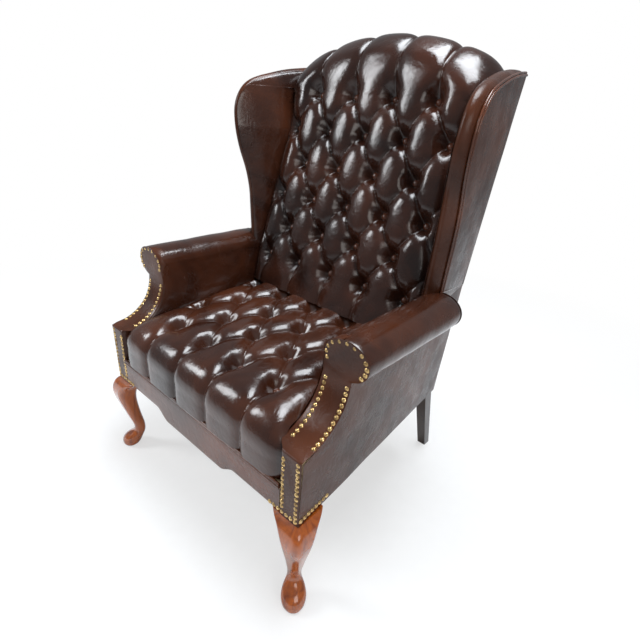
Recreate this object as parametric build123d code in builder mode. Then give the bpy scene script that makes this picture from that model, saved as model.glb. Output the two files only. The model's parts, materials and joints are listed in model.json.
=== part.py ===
from build123d import *
import os
from math import atan2, cos, radians, sin, tan

# Deep-buttoned leather wingback chair, in millimetres.
# The origin is on the floor under the middle of the chair. +Z is up and the chair faces -Y.
# Left and right are the sitter's, so the left side is at +X.

# Overall
overall_height = 1120
origin_setback = 336  # from the seat rail's leather face back to the middle of the depth

# Seat frame, over its leather
front_half_width = 349
side_taper = 56  # that each side draws in from front to back
rear_half_width = front_half_width - side_taper
body_depth = 606
rail_bottom = 236
rail_height = 70
rail_thickness = 28
apron_drop = 20
apron_half_span = 105
apron_ogee_width = 50
apron_corner_rise = 3
side_lean = 1.43  # degrees that the outside arms lean outwards

# Covers and clearances
cover = 3  # leather with its lining
clear = 0.3  # gap between pieces that only lie side by side
tuft_gap = 1.5  # width of a pleat's floor
overrun = 60  # how far a cutting shape runs past what it cuts

# Back
back_rake = 5.97  # degrees, outside back
rest_rake = 15.64  # degrees, plane of the back buttons
post_width = 32
post_depth = 40
crest_rail_height = 62
crest_rail_thickness = 28
lower_rail_height = 60
lower_rail_level = 345
top_row_drop = 150  # below the top of the chair
top_row_level = overall_height - top_row_drop
last_row_level = 535.2
last_row_advance = 148.1  # in front of the seat frame's back
back_rows = 6
back_row_pitch = (top_row_level - last_row_level) / cos(radians(rest_rake)) / (back_rows - 1)
top_row_advance = (top_row_level - last_row_level) * tan(radians(rest_rake)) - last_row_advance
top_row_setback = body_depth + top_row_advance
tuft_rise = 38
slab_thickness = 8
crest_inset = 64
crest_half_width = front_half_width - crest_inset
crest_back_level = overall_height - tuft_rise - slab_thickness
crest_front_drop = 58
crest_front_level = overall_height - crest_front_drop
crest_front_run = 32.4  # behind the top row
crest_front_setback = top_row_setback + crest_front_run
crest_top_run = 70.4
crest_top_setback = top_row_setback + crest_top_run
crest_thickness = 32
crest_seat_level = crest_back_level - crest_thickness
crest_rear_rise_share = 0.35
crest_start = 70  # length up the button plane from the top row to where the crest turns back
crest_drop_shares = (0, 0.05, 0.42, 1.0)  # fall of the crest at its middle, at each pleat and at its end
crest_fall = 62
outer_lobe_fall = 44
middle_lobe_fall = 12
rest_foot_level = 468  # lower end of the back's tufts, just over the seat

# Seat
seat_rise = 32
seat_front_rise = 23
seat_rear_margin = 214  # depth of the seat frame outside the buttoned length
seat_row_spaces = 4
seat_row_pitch = (body_depth - seat_rear_margin) / seat_row_spaces
seat_row_setback = 100
seat_row_level = 408
seat_tilt = 4.6  # degrees up towards the back
seat_shoulder_setback = 45
seat_shoulder_level = 401
seat_nose_setback = 19
seat_nose_level = 378
seat_front_setback = 16
seat_front_bottom = 312
seat_shoulder_angle = 55  # degrees up from straight forward
seat_nose_angle = 20
seat_strip_top = 388

# Front legs
leg_block = 73
leg_shares = (
    # height, side and corner radius, and outward lean of the middle, as shares of the leg's
    # height and of its top block
    (1.0, 1.0, 0.08, -0.5),
    (0.945, 0.93, 0.19, -0.27),
    (0.84, 0.79, 0.22, -0.10),
    (0.70, 0.65, 0.23, -0.09),
    (0.54, 0.52, 0.205, -0.18),
    (0.42, 0.45, 0.19, -0.26),
    (0.30, 0.395, 0.175, -0.34),
    (0.225, 0.42, 0.19, -0.33),
    (0.165, 0.60, 0.27, -0.22),
    (0.105, 0.71, 0.33, -0.12),
    (0.042, 0.66, 0.31, -0.07),
    (0.0, 0.46, 0.21, -0.06),
)

# Rear legs
rear_leg_width = 32
rear_foot_width = 25
rear_foot_kick = 55
rear_foot_setback = body_depth + rear_foot_kick
rear_foot_inset = 23
rear_foot_half_span = rear_half_width - rear_foot_inset

# Arms
arm_panel_width = 51
seat_front_half_width = front_half_width - arm_panel_width - tuft_gap / 3
arm_kink_level = 394
arm_slope_setback = 30
arm_slope_level = 400
arm_slope_angle = 14  # degrees above level where the front's curve starts
arm_neck_setback = 116
arm_neck_level = 520
arm_front_setback = 113
arm_foot_width = 77  # from the side to the inside arm, at its foot and at the roll
arm_neck_width = 67
arm_inner_low = front_half_width - arm_foot_width
arm_inner_high = front_half_width - arm_neck_width
column_margin = 36
column_pitch = (arm_inner_low - column_margin) / 2
arm_lean_level = 547
arm_cover_bottom = 331
roll_inset = 15
roll_centre = front_half_width - roll_inset
roll_level = 547
roll_half_width = 52
roll_half_height = 41
roll_end_advance = 151  # in front of the seat frame's back
roll_end_setback = body_depth - roll_end_advance
arm_rear_advance = 86
arm_rear_setback = body_depth - arm_rear_advance
arm_pad_width = 26
arm_post_depth = 44
arm_post_drop = 30
arm_rail_thickness = 26
arm_rail_level = 524
arm_rail_inner_reach = 34
arm_rail_outer_reach = 30
arm_rail_inner = roll_centre - arm_rail_inner_reach
arm_rail_outer = roll_centre + arm_rail_outer_reach
tack_rail_height = 34
tack_rail_level = 398
tack_rail_thickness = 20
arm_scroll_width = 65
arm_scroll_inner = front_half_width - arm_scroll_width

# Wings
wing_plan_angle = 8.53  # degrees between the outside wing and straight back
wing_lean = 3.04
wing_inset = 20
wing_half_width = front_half_width - wing_inset
wing_setback = roll_end_setback
wing_level = 588
wing_low_straight = 96
wing_reach = 44
wing_top_drop = 77  # below the top of the chair
wing_rear_rise = overall_height - wing_top_drop - wing_level
wing_reach_drop = 130
wing_reach_rise = wing_rear_rise - wing_reach_drop
wing_round_setback = 20
wing_round_drop = 41
wing_round_rise = wing_rear_rise - wing_round_drop
wing_rear_setback = 237  # along the wing from its front edge
wing_foot_setback = 187
wing_foot_drop = 30
wing_board = 22
wing_border = 9
wing_slant = 36.9  # degrees that the wing's front edge slants in plan
wing_depth = 190
welt = 6
inner_front_advance = 216
inner_front_setback = body_depth - inner_front_advance
inner_middle_level = 880
inner_top_level = crest_front_level
inner_insets = (40, 26, 11)
inner_half_widths = [front_half_width - inset for inset in inner_insets]
inner_slope_shares = (0.35, 0.352, 0.20)

# Springs and webbing
spring_wire = 3.6
spring_count = 5
spring_pitch = 96
spring_loops = 24
spring_half_swing = 22
clip_width = 16
clip_length = 22
hessian_side_margin = 33
hessian_half_width = rear_half_width - hessian_side_margin
hessian_end_margin = 41
hessian_length = body_depth - hessian_end_margin
back_hessian_margin = 43
back_hessian_half_width = rear_half_width - back_hessian_margin
cloth = 1.2
web_width = 50
web_thickness = 1.5
web_pitch = 95
web_count = 5
web_row_pitch = 150
web_rows = 4
web_level = 450
web_lap = 8  # length of a web's end over the wood

# Small parts
button_radius = 9
button_height = 5
nail_radius = 5.2
nail_height = 3
nail_pitch = 11.6
nail_edge = 6.5
nail_outer_inset = 8.5
nail_outer = front_half_width - nail_outer_inset
nail_outer_low = 245
nail_outer_count = 13
nail_inner_inset = 45
nail_inner = front_half_width - nail_inner_inset
nail_inner_low = 259
nail_inner_count = 11
nail_foot_count = 6
nail_side_count = 8
nail_slope_share = 0.9
nail_scroll_angles = (-38, -18, 2, 22, 44, 68, 90, 112, 136, 158, 178, 198)
screw_radius = 2.5
screw_head_radius = 4.5
screw_head_height = 3
screw_length = 34
screw_seat = 14  # wood of the corner block under a screw's head
dowel_radius = 5
dowel_length = 44
dowel_level_shares = (0.28, 0.72)  # shares of the rail's height
bolt_radius = 4
bolt_depth = 38
bolt_length = 92
nut_radius = 8
nut_height = 6
block_leg = 62
block_height = 46

os.makedirs("parts", exist_ok=True)

front = -origin_setback
side_plan = atan2(front_half_width - rear_half_width, body_depth)


def leaning_plane(origin, plan, lean):
    """Plane of an outside panel on the left, normal outwards, local x to the rear, local y up."""
    normal = (cos(plan) * cos(lean), sin(plan) * cos(lean), -sin(lean))
    return Plane(origin=origin, x_dir=(-sin(plan), cos(plan), 0), z_dir=normal)


side = leaning_plane((front_half_width, front, rail_bottom), side_plan, radians(side_lean))
wing_side = leaning_plane(
    (wing_half_width, front + wing_setback, wing_level), radians(wing_plan_angle), radians(wing_lean)
)
back = Plane(
    origin=(0, front + body_depth, rail_bottom),
    x_dir=(-1, 0, 0),
    z_dir=(0, cos(radians(back_rake)), -sin(radians(back_rake))),
)
post_front = back.offset(-cover - post_depth)
rest = Plane(
    origin=(0, front + top_row_setback, top_row_level),
    x_dir=(1, 0, 0),
    z_dir=(0, -cos(radians(rest_rake)), sin(radians(rest_rake))),
)
deck = Plane(
    origin=(0, front + seat_row_setback, seat_row_level),
    x_dir=(1, 0, 0),
    z_dir=(0, -sin(radians(seat_tilt)), cos(radians(seat_tilt))),
)
rail_top = rail_bottom + rail_height
side_inner = side.offset(-cover - rail_thickness)


def back_y(level, inset=0):
    """Depth of the outside back at a level, or of a plane that lies inset in front of it."""
    return front + body_depth + (level - rail_bottom) * tan(radians(back_rake)) - inset / cos(radians(back_rake))


def rest_y(level, proud=0):
    """Depth of the button plane at a level, or of a surface proud of it."""
    rake = radians(rest_rake)
    return front + top_row_setback + (level - top_row_level) * tan(rake) - proud / cos(rake)


def side_x(depth, level, inset=0):
    """Half width over the outside arm at a depth and level."""
    plan, lean = side_plan, radians(side_lean)
    run = (depth - front) * sin(plan) * cos(lean) - (level - rail_bottom) * sin(lean)
    return front_half_width - (run + inset) / (cos(plan) * cos(lean))


def keep_pair(left, name):
    """Label and write a left piece and its mirror image."""
    left.part.label = "left_" + name
    export_step(left.part, f"parts/left_{name}.step")
    with BuildPart() as right:
        mirror(left.part, about=Plane.YZ)
    right.part.label = "right_" + name
    export_step(right.part, f"parts/right_{name}.step")


def keep(piece, name):
    """Label and write a piece."""
    piece.part.label = name
    export_step(piece.part, f"parts/{name}.step")


def drill(piece):
    """Cut the holes of the dowels, bolts and screws that reach a piece."""
    with piece:
        add(joinery_holes.part, mode=Mode.SUBTRACT)


# Dowels, leg bolts and block screws, with the holes that take them


def peg(start, direction, radius, length):
    """Round pin from a start point along a direction."""
    with BuildPart() as pin:
        with BuildSketch(Plane(origin=start, z_dir=direction)):
            Circle(radius)
        extrude(amount=length)
    return pin.part


def pegs(places, slack):
    """All pins of a list of (start, direction, radius, length), grown by slack."""
    with BuildPart() as group:
        for start, direction, radius, length in places:
            start = Vector(*start) - Vector(*direction).normalized() * slack
            add(peg(start, direction, radius + slack, length + 2 * slack))
    return group.part


side_along = (side.x_dir.X, side.x_dir.Y, side.x_dir.Z)
front_joint = front + cover + rail_thickness
rail_middle = cover + rail_thickness / 2
dowel_places = []
for share in dowel_level_shares:
    level = rail_bottom + share * rail_height
    y = front_joint - dowel_length / 2
    dowel_places.append(((side_x(y, level, rail_middle), y, level), side_along, dowel_radius, dowel_length))
    y = back_y(level, cover + post_depth) - dowel_length / 2
    dowel_places.append(((side_x(y, level, rail_middle), y, level), side_along, dowel_radius, dowel_length))

bolt_x = side_x(front_joint, rail_bottom, cover + rail_thickness) - block_leg / 4
bolt_y = front_joint + block_leg / 4
bolt_places = [((bolt_x, bolt_y, rail_bottom - bolt_depth), (0, 0, 1), bolt_radius, bolt_length)]
nut_level = rail_bottom + block_height
nut_places = [((bolt_x, bolt_y, nut_level), (0, 0, 1), nut_radius, nut_height)]

screw_places = []
head_places = []
for joint, way in ((front_joint, -1), (back_y(rail_bottom + block_height / 2, cover + post_depth), 1)):
    x = side_x(joint, rail_bottom, cover + rail_thickness) - block_leg * 0.6
    level = rail_bottom + block_height / 2
    head = joint - way * screw_seat
    screw_places.append(((x, head, level), (0, way, 0), screw_radius, screw_length))
    head_places.append(((x, head - way * block_leg, level), (0, way, 0), screw_head_radius + clear, block_leg))

with BuildPart() as frame_dowels:
    add(pegs(dowel_places, 0))
    mirror(about=Plane.YZ)
keep(frame_dowels, "frame_dowels")

with BuildPart() as leg_bolts:
    add(pegs(bolt_places, 0))
    add(pegs(nut_places, 0))
    mirror(about=Plane.YZ)
keep(leg_bolts, "leg_bolts")

with BuildPart() as block_screws:
    add(pegs(screw_places, 0))
    for start, direction, _, length in screw_places:
        head = Vector(*start) - Vector(*direction) * screw_head_height
        add(peg(head, direction, screw_head_radius, screw_head_height))
    mirror(about=Plane.YZ)
keep(block_screws, "corner_block_screws")

with BuildPart() as joinery_holes:
    for places in (dowel_places, bolt_places, screw_places):
        add(pegs(places, clear))
    add(pegs(head_places, 0))
    mirror(about=Plane.YZ)

# Front seat rail with its dropped, ogee-ended apron


def apron_face(half_width, top):
    """Front view of the rail: straight ends, an ogee each side and the dropped middle."""
    low = rail_bottom - apron_drop
    high = rail_bottom + apron_corner_rise
    middle = (low + high) / 2
    inner, outer = apron_half_span, apron_half_span + apron_ogee_width
    with BuildSketch(Plane.XZ.offset(-front)) as face:
        with BuildLine():
            Line((0, low), (inner, low))
            rise = TangentArc((inner, low), (inner + apron_ogee_width / 2, middle), tangent=(1, 0))
            TangentArc(rise @ 1, (outer, high), tangent=rise % 1)
            Polyline((outer, high), (half_width, high), (half_width, top), (0, top), (0, low))
        make_face()
        mirror(about=Plane.YZ)
    return face


with BuildPart() as front_rail:
    extrude(apron_face(front_half_width, rail_top).sketch, amount=-rail_thickness - cover)
    split(bisect_by=Plane.XZ.offset(-front - cover), keep=Keep.BOTTOM)
    split(bisect_by=side.offset(-cover), keep=Keep.BOTTOM)
    split(bisect_by=Plane.YZ, keep=Keep.TOP)
    mirror(about=Plane.YZ)
drill(front_rail)
keep(front_rail, "front_seat_rail")

with BuildPart() as apron_cover:
    extrude(apron_face(seat_front_half_width, seat_front_bottom - 2 * welt - clear).sketch, amount=-cover)
keep(apron_cover, "front_rail_cover")

with BuildPart() as front_welt:
    for row in (0.5, 1.5):
        level = seat_front_bottom - clear / 2 - row * welt
        with BuildSketch(Plane.YZ.offset(-seat_front_half_width)):
            with Locations((front + cover - welt / 2, level)):
                Circle(welt / 2 - clear / 2)
        extrude(amount=2 * seat_front_half_width)
keep(front_welt, "seat_front_welt")

# Side and rear seat rails

with BuildPart() as side_rail:
    with BuildSketch(Plane.YZ):
        with Locations((front + cover + rail_thickness, rail_bottom)):
            Rectangle(body_depth, rail_height, align=(Align.MIN, Align.MIN))
    extrude(amount=front_half_width)
    split(bisect_by=side.offset(-cover), keep=Keep.BOTTOM)
    split(bisect_by=side_inner, keep=Keep.TOP)
    split(bisect_by=post_front, keep=Keep.BOTTOM)
drill(side_rail)
keep_pair(side_rail, "side_seat_rail")


def up_post(level):
    """Length up the posts' front plane at a level."""
    return (level - post_front.origin.Z) / cos(radians(back_rake))


def cross_rail(level, height, thickness):
    """Rail between the back posts, its front flush with theirs."""
    with BuildPart() as rail:
        with BuildSketch(post_front):
            with Locations((0, up_post(level) + height / 2)):
                Rectangle(2 * front_half_width, height + overrun)
        extrude(amount=thickness)
        split(bisect_by=Plane.XY.offset(level), keep=Keep.TOP)
        split(bisect_by=Plane.XY.offset(level + height), keep=Keep.BOTTOM)
        split(bisect_by=side.offset(-cover - post_width), keep=Keep.BOTTOM)
        split(bisect_by=Plane.YZ, keep=Keep.TOP)
        mirror(about=Plane.YZ)
    return rail


rear_rail = cross_rail(rail_bottom, rail_height, rail_thickness)
drill(rear_rail)
keep(rear_rail, "rear_seat_rail")
lower_rail = cross_rail(lower_rail_level, lower_rail_height, rail_thickness)
keep(lower_rail, "lower_back_rail")

# Back post and rear leg, one piece of wood that is bent at the seat

post_top = crest_seat_level - crest_fall
post_middle_x = side_x(back_y(rail_bottom), rail_bottom, cover + post_width / 2)
post_middle_y = back_y(rail_bottom, cover + post_depth / 2)
with BuildPart() as back_post:
    with BuildSketch(Plane.YZ):
        Polygon(
            (back_y(rail_bottom, cover), rail_bottom),
            (back_y(post_top, cover), post_top),
            (back_y(post_top, cover + post_depth), post_top),
            (back_y(rail_bottom, cover + post_depth), rail_bottom),
            align=None,
        )
    extrude(amount=front_half_width)
    split(bisect_by=side.offset(-cover), keep=Keep.BOTTOM)
    split(bisect_by=side.offset(-cover - post_width), keep=Keep.TOP)
    with BuildSketch() as rear_foot:
        with Locations((rear_foot_half_span, front + rear_foot_setback)):
            Rectangle(rear_foot_width, rear_foot_width)
    with BuildSketch(Plane.XY.offset(rail_bottom)) as rear_leg_top:
        with Locations((post_middle_x, post_middle_y)):
            Rectangle(rear_leg_width - 2 * clear, rear_leg_width)
    loft()
drill(back_post)
keep_pair(back_post, "back_post")

# Crest rail, cambered, between the tops of the posts

crest_places = (0, column_pitch / 2, 1.5 * column_pitch, crest_half_width)
crest_falls = [crest_fall * share for share in crest_drop_shares]
with BuildPart() as crest_rail:
    with BuildSketch(post_front) as crest_view:
        tops = [(x, up_post(crest_seat_level - fall - clear)) for x, fall in zip(crest_places, crest_falls)]
        lows = [(crest_half_width, up_post(post_top - crest_rail_height)), (0, up_post(post_top - crest_rail_height))]
        Polygon(*tops, *lows, align=None)
        mirror(about=Plane.YZ)
    extrude(amount=crest_rail_thickness)
    split(bisect_by=side.offset(-cover - post_width), keep=Keep.BOTTOM)
    split(bisect_by=Plane.YZ, keep=Keep.TOP)
    mirror(about=Plane.YZ)
keep(crest_rail, "crest_rail")

# Front legs: a knee that grows out of the corner, a slim ankle and a pad foot

with BuildPart() as front_leg:
    for height, side_share, corner, lean in leg_shares:
        out = lean * leg_block
        with BuildSketch(Plane.XY.offset(height * rail_bottom)):
            with Locations((front_half_width + out, front - out)):
                RectangleRounded(side_share * leg_block, side_share * leg_block, corner * leg_block)
    loft()
drill(front_leg)
keep_pair(front_leg, "front_leg")

# Arm seen from the side: upright front, a hollow slope and the scroll above


def arm_view(rear, bottom, top):
    """Side view of everything behind the arm's front curve."""
    kink = (front, arm_kink_level)
    slope = (front + arm_slope_setback, arm_slope_level)
    neck = (front + arm_neck_setback, arm_neck_level)
    angle = radians(arm_slope_angle)
    with BuildSketch(Plane.XY) as view:
        with BuildLine():
            Polyline((front, bottom), kink, slope)
            TangentArc(slope, neck, tangent=(cos(angle), sin(angle)))
            Polyline(neck, (front + arm_front_setback, top), (rear, top), (rear, bottom), (front, bottom))
        make_face()
    return view.sketch


arm_top = roll_level + roll_half_height
arm_far = front + body_depth + overrun


def arm_block(inset, bottom=rail_bottom):
    """The arm's side view, its front drawn in by inset, as a solid across the left side."""
    with BuildPart() as block:
        with BuildSketch(Plane.YZ):
            add(arm_view(arm_far, bottom - overrun, arm_top + overrun))
            if inset:
                offset(amount=-inset, kind=Kind.INTERSECTION)
        extrude(amount=front_half_width + roll_half_width)
        split(bisect_by=Plane.XY.offset(bottom), keep=Keep.TOP)
    return block.part


def inner_line(level):
    """Half width of the inside arm's surface at a level."""
    share = (level - arm_cover_bottom) / (arm_lean_level - arm_cover_bottom)
    return arm_inner_low + share * (arm_inner_high - arm_inner_low)


def between_arms(bottom, top):
    """Space between the inside arms, from one level to another."""
    with BuildPart() as space:
        with BuildSketch(Plane.XZ.offset(-front)):
            Polygon(
                (inner_line(bottom) - clear, bottom), (inner_line(top) - clear, top),
                (clear - inner_line(top), top), (clear - inner_line(bottom), bottom),
                align=None,
            )
        extrude(amount=-body_depth - 2 * overrun)
    return space.part


def roll_solid(inset, rear):
    """The rolled arm top as a solid bar, drawn in by inset."""
    with BuildPart() as bar:
        with BuildSketch(Plane.XZ.offset(-rear)):
            with Locations((roll_centre, roll_level)):
                Ellipse(roll_half_width - inset, roll_half_height - inset)
        extrude(amount=rear - front)
    return bar.part


def arm_lining(near, far, rear):
    """Flat layer of the inside arm between two depths behind its surface."""
    with BuildPart() as layer:
        with BuildSketch(Plane.XZ.offset(-rear)):
            Polygon(
                (inner_line(arm_cover_bottom) + near, arm_cover_bottom),
                (inner_line(arm_cover_bottom) + far, arm_cover_bottom),
                (inner_line(wing_seat) + far, wing_seat),
                (inner_line(wing_seat) + near, wing_seat),
                align=None,
            )
        extrude(amount=rear - front - slab_thickness - seat_front_setback - clear)
    return layer.part


wing_seat = arm_rail_level + arm_rail_thickness
roll_rear = front + roll_end_setback
arm_rear = front + arm_rear_setback

# Arm post: the scroll-fronted stump on the corner of the seat frame

with BuildPart() as arm_post:
    with BuildSketch(Plane.YZ) as post_view:
        add(arm_view(arm_far, rail_bottom - overrun, arm_top + overrun))
        offset(amount=-cover, kind=Kind.INTERSECTION)
        with Locations((arm_post_depth, -arm_post_drop)):
            add(arm_view(arm_far, rail_bottom - 2 * overrun, arm_top + 2 * overrun), mode=Mode.SUBTRACT)
    extrude(amount=front_half_width)
    split(bisect_by=Plane.XY.offset(rail_top), keep=Keep.TOP)
    split(bisect_by=Plane.XY.offset(arm_rail_level), keep=Keep.BOTTOM)
    split(bisect_by=side.offset(-cover), keep=Keep.BOTTOM)
    split(bisect_by=Plane.YZ.offset(front_half_width - arm_panel_width + cover), keep=Keep.TOP)
keep_pair(arm_post, "arm_post")

with BuildPart() as arm_rail:
    with BuildSketch(Plane.XY.offset(arm_rail_level)):
        Polygon(
            (arm_rail_inner, front),
            (arm_rail_outer, front),
            (arm_rail_outer, roll_rear - cover),
            (arm_rail_inner, roll_rear - cover),
            align=None,
        )
    extrude(amount=arm_rail_thickness)
    with BuildPart(mode=Mode.PRIVATE) as bearer:
        with BuildSketch(Plane.XY.offset(arm_rail_level)):
            with Locations((0, front)):
                Rectangle(front_half_width, body_depth, align=(Align.MIN, Align.MIN))
        extrude(amount=arm_rail_thickness)
        split(bisect_by=side.offset(-cover), keep=Keep.BOTTOM)
        split(bisect_by=side.offset(-cover - tack_rail_thickness), keep=Keep.TOP)
        split(bisect_by=post_front, keep=Keep.BOTTOM)
    add(bearer.part)
    add(arm_block(cover), mode=Mode.INTERSECT)
keep_pair(arm_rail, "arm_rail")

with BuildPart() as tack_rail:
    with BuildSketch(Plane.XY.offset(tack_rail_level)):
        with Locations((0, front + arm_neck_setback)):
            Rectangle(front_half_width, body_depth, align=(Align.MIN, Align.MIN))
    extrude(amount=tack_rail_height)
    split(bisect_by=side.offset(-cover), keep=Keep.BOTTOM)
    split(bisect_by=side.offset(-cover - tack_rail_thickness), keep=Keep.TOP)
    split(bisect_by=post_front, keep=Keep.BOTTOM)
    add(arm_post.part, mode=Mode.SUBTRACT)
keep_pair(tack_rail, "arm_tack_rail")

# Wing shapes


def wing_shape(inset, near, far):
    """Ear shape between two depths inside the outside wing, its front and top drawn in by inset."""
    low = (0, wing_seat - wing_level)
    straight = (-welt / 2, wing_low_straight)
    reach = (-wing_reach, wing_reach_rise)
    ogee = ((straight[0] + reach[0]) / 2, (straight[1] + reach[1]) / 2)
    shoulder = (wing_round_setback, wing_round_rise)
    tail = (wing_rear_setback, wing_rear_rise)
    slant = radians(wing_slant)
    along = Vector(-cos(slant), -sin(slant), 0)
    fall = -along.dot(wing_side.z_dir)
    with BuildPart() as shape:
        with BuildSketch(wing_side):
            with BuildLine():
                Polyline((low[0], low[1] - overrun), low, straight)
                first = TangentArc(straight, ogee, tangent=(0, 1))
                second = TangentArc(ogee, reach, tangent=first % 1)
                third = TangentArc(reach, shoulder, tangent=second % 1)
                TangentArc(shoulder, tail, tangent=third % 1)
                Polyline(
                    tail,
                    (tail[0] + overrun, tail[1]),
                    (tail[0] + overrun, low[1] - overrun),
                    (low[0], low[1] - overrun),
                )
            make_face()
            if inset:
                offset(amount=-inset, kind=Kind.ARC)
        extrude(amount=far / fall, dir=along)
        if near:
            split(bisect_by=wing_side.offset(-near), keep=Keep.BOTTOM)
    return shape.part


def well(inset):
    """Space between the wings, widened by inset, from the arms up past the crest."""
    with BuildPart() as space:
        levels = (wing_seat, inner_middle_level, inner_top_level)
        for level, half_width, slope in zip(levels, inner_half_widths, inner_slope_shares):
            start = front + inner_front_setback
            near = half_width + inset + slope * (start - front)
            far = half_width + inset - slope * (body_depth + 2 * overrun - inner_front_setback)
            with BuildSketch(Plane.XY.offset(level)):
                Polygon(
                    (-near, front), (near, front),
                    (far, front + body_depth + 2 * overrun), (-far, front + body_depth + 2 * overrun),
                    align=None,
                )
        loft(ruled=True)
    return space.part


# Wing frames: an ear-shaped board that stands on the arm rail and butts the back post

left_roll = roll_solid(0, roll_rear)

with BuildPart() as wing_frame:
    add(wing_shape(wing_border, cover, cover + wing_board))
    split(bisect_by=post_front, keep=Keep.BOTTOM)
    split(bisect_by=Plane.XY.offset(wing_seat), keep=Keep.TOP)
    add(left_roll, mode=Mode.SUBTRACT)
keep_pair(wing_frame, "wing_frame")

# Arm padding and covers

with BuildPart() as inside_arm_cover:
    add(left_roll)
    add(roll_solid(cover, roll_rear), mode=Mode.SUBTRACT)
    with BuildPart(mode=Mode.PRIVATE) as under_roll:
        with BuildSketch(Plane.XY.offset(roll_level - roll_half_height - overrun)):
            with Locations((0, front - overrun)):
                Rectangle(roll_centre + roll_half_width, body_depth, align=(Align.MIN, Align.MIN))
        extrude(amount=roll_half_height + overrun)
        split(bisect_by=side, keep=Keep.BOTTOM)
    add(under_roll.part, mode=Mode.SUBTRACT)
    with BuildPart(mode=Mode.PRIVATE) as roll_end:
        with BuildSketch(Plane.XZ.offset(-roll_rear)):
            with Locations((roll_centre, roll_level)):
                Ellipse(roll_half_width, roll_half_height)
        extrude(amount=cover)
        split(bisect_by=side.offset(-cover), keep=Keep.TOP)
    add(roll_end.part)
    add(arm_lining(0, cover, arm_rear))
    add(arm_block(cover, arm_cover_bottom), mode=Mode.INTERSECT)
    for wood in (arm_rail, wing_frame):
        add(wood.part, mode=Mode.SUBTRACT)
keep_pair(inside_arm_cover, "inside_arm_cover")

with BuildPart() as arm_pad:
    add(arm_lining(cover, cover + arm_pad_width, arm_rear))
    split(bisect_by=side.offset(-cover), keep=Keep.BOTTOM)
    add(roll_solid(cover, roll_rear - cover))
    add(arm_block(cover, arm_cover_bottom), mode=Mode.INTERSECT)
    for neighbour in (arm_post, arm_rail, tack_rail, wing_frame, inside_arm_cover):
        add(neighbour.part, mode=Mode.SUBTRACT)
keep_pair(arm_pad, "arm_pad")

with BuildPart() as outside_arm_cover:
    add(arm_block(cover))
    split(bisect_by=Plane.XY.offset(wing_seat), keep=Keep.BOTTOM)
    split(bisect_by=side, keep=Keep.BOTTOM)
    split(bisect_by=side.offset(-cover), keep=Keep.TOP)
    split(bisect_by=back.offset(-cover), keep=Keep.BOTTOM)
    add(left_roll, mode=Mode.SUBTRACT)
keep_pair(outside_arm_cover, "outside_arm_cover")

with BuildPart() as arm_front_panel:
    with BuildSketch(Plane.XZ.offset(-front)):
        with Locations((front_half_width, rail_bottom)):
            Rectangle(arm_panel_width, arm_kink_level - rail_bottom, align=(Align.MAX, Align.MIN))
        Polygon(
            (arm_scroll_inner, arm_kink_level),
            (front_half_width, arm_kink_level),
            (front_half_width, roll_level),
            (arm_scroll_inner, roll_level),
            align=None,
        )
        with Locations((roll_centre, roll_level)):
            Ellipse(roll_half_width, roll_half_height)
    extrude(amount=-arm_neck_setback - 2 * cover)
    add(arm_block(0), mode=Mode.INTERSECT)
    add(arm_block(cover), mode=Mode.SUBTRACT)
keep_pair(arm_front_panel, "arm_front_panel")

# Wing padding and covers

wing_tuck = rest.offset(-slab_thickness - arm_pad_width)

with BuildPart() as outside_wing_cover:
    add(wing_shape(welt, 0, cover))
    split(bisect_by=back.offset(-cover), keep=Keep.BOTTOM)
    split(bisect_by=Plane.XY.offset(wing_seat), keep=Keep.TOP)
    add(left_roll, mode=Mode.SUBTRACT)
keep_pair(outside_wing_cover, "outside_wing_cover")

with BuildPart() as wing_border_piece:
    add(wing_shape(0, welt, wing_depth))
    add(wing_shape(wing_border, welt, wing_depth), mode=Mode.SUBTRACT)
    add(well(0), mode=Mode.SUBTRACT)
    split(bisect_by=Plane.XY.offset(wing_seat), keep=Keep.TOP)
    split(bisect_by=post_front, keep=Keep.BOTTOM)
    add(left_roll, mode=Mode.SUBTRACT)
keep_pair(wing_border_piece, "wing_border")

with BuildPart() as inside_wing_cover:
    add(wing_shape(wing_border, cover + wing_board, wing_depth))
    add(well(cover), mode=Mode.INTERSECT)
    add(well(0), mode=Mode.SUBTRACT)
    split(bisect_by=wing_tuck, keep=Keep.TOP)
    split(bisect_by=Plane.XY.offset(wing_seat), keep=Keep.TOP)
    add(left_roll, mode=Mode.SUBTRACT)
keep_pair(inside_wing_cover, "inside_wing_cover")

with BuildPart() as wing_pad:
    add(wing_shape(wing_border, cover + wing_board, wing_depth))
    add(well(cover), mode=Mode.SUBTRACT)
    split(bisect_by=wing_tuck, keep=Keep.TOP)
    split(bisect_by=Plane.XY.offset(wing_seat), keep=Keep.TOP)
    split(bisect_by=post_front, keep=Keep.BOTTOM)
    add(left_roll, mode=Mode.SUBTRACT)
keep_pair(wing_pad, "wing_pad")

# Tufts: each is a puff that fills the diamond between four buttons

tuft_stations = ((0, 1), (0.36, 0.84), (0.7, 0.48), (0.95, 0.085))


def puff_section(plane, across, along, width, rise, depth=0):
    """Segment of an arc over a chord, across a tufted surface; depth thickens it below the chord."""
    origin = plane.from_local_coords((across, along, 0))
    with BuildSketch(Plane(origin=origin, x_dir=plane.x_dir, z_dir=-plane.y_dir)) as section:
        with BuildLine():
            ThreePointArc((-width / 2, 0), (0, rise), (width / 2, 0))
            if depth:
                Polyline((width / 2, 0), (width / 2, -depth), (-width / 2, -depth), (-width / 2, 0))
            else:
                Line((width / 2, 0), (-width / 2, 0))
        make_face()
    return section.sketch


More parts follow.
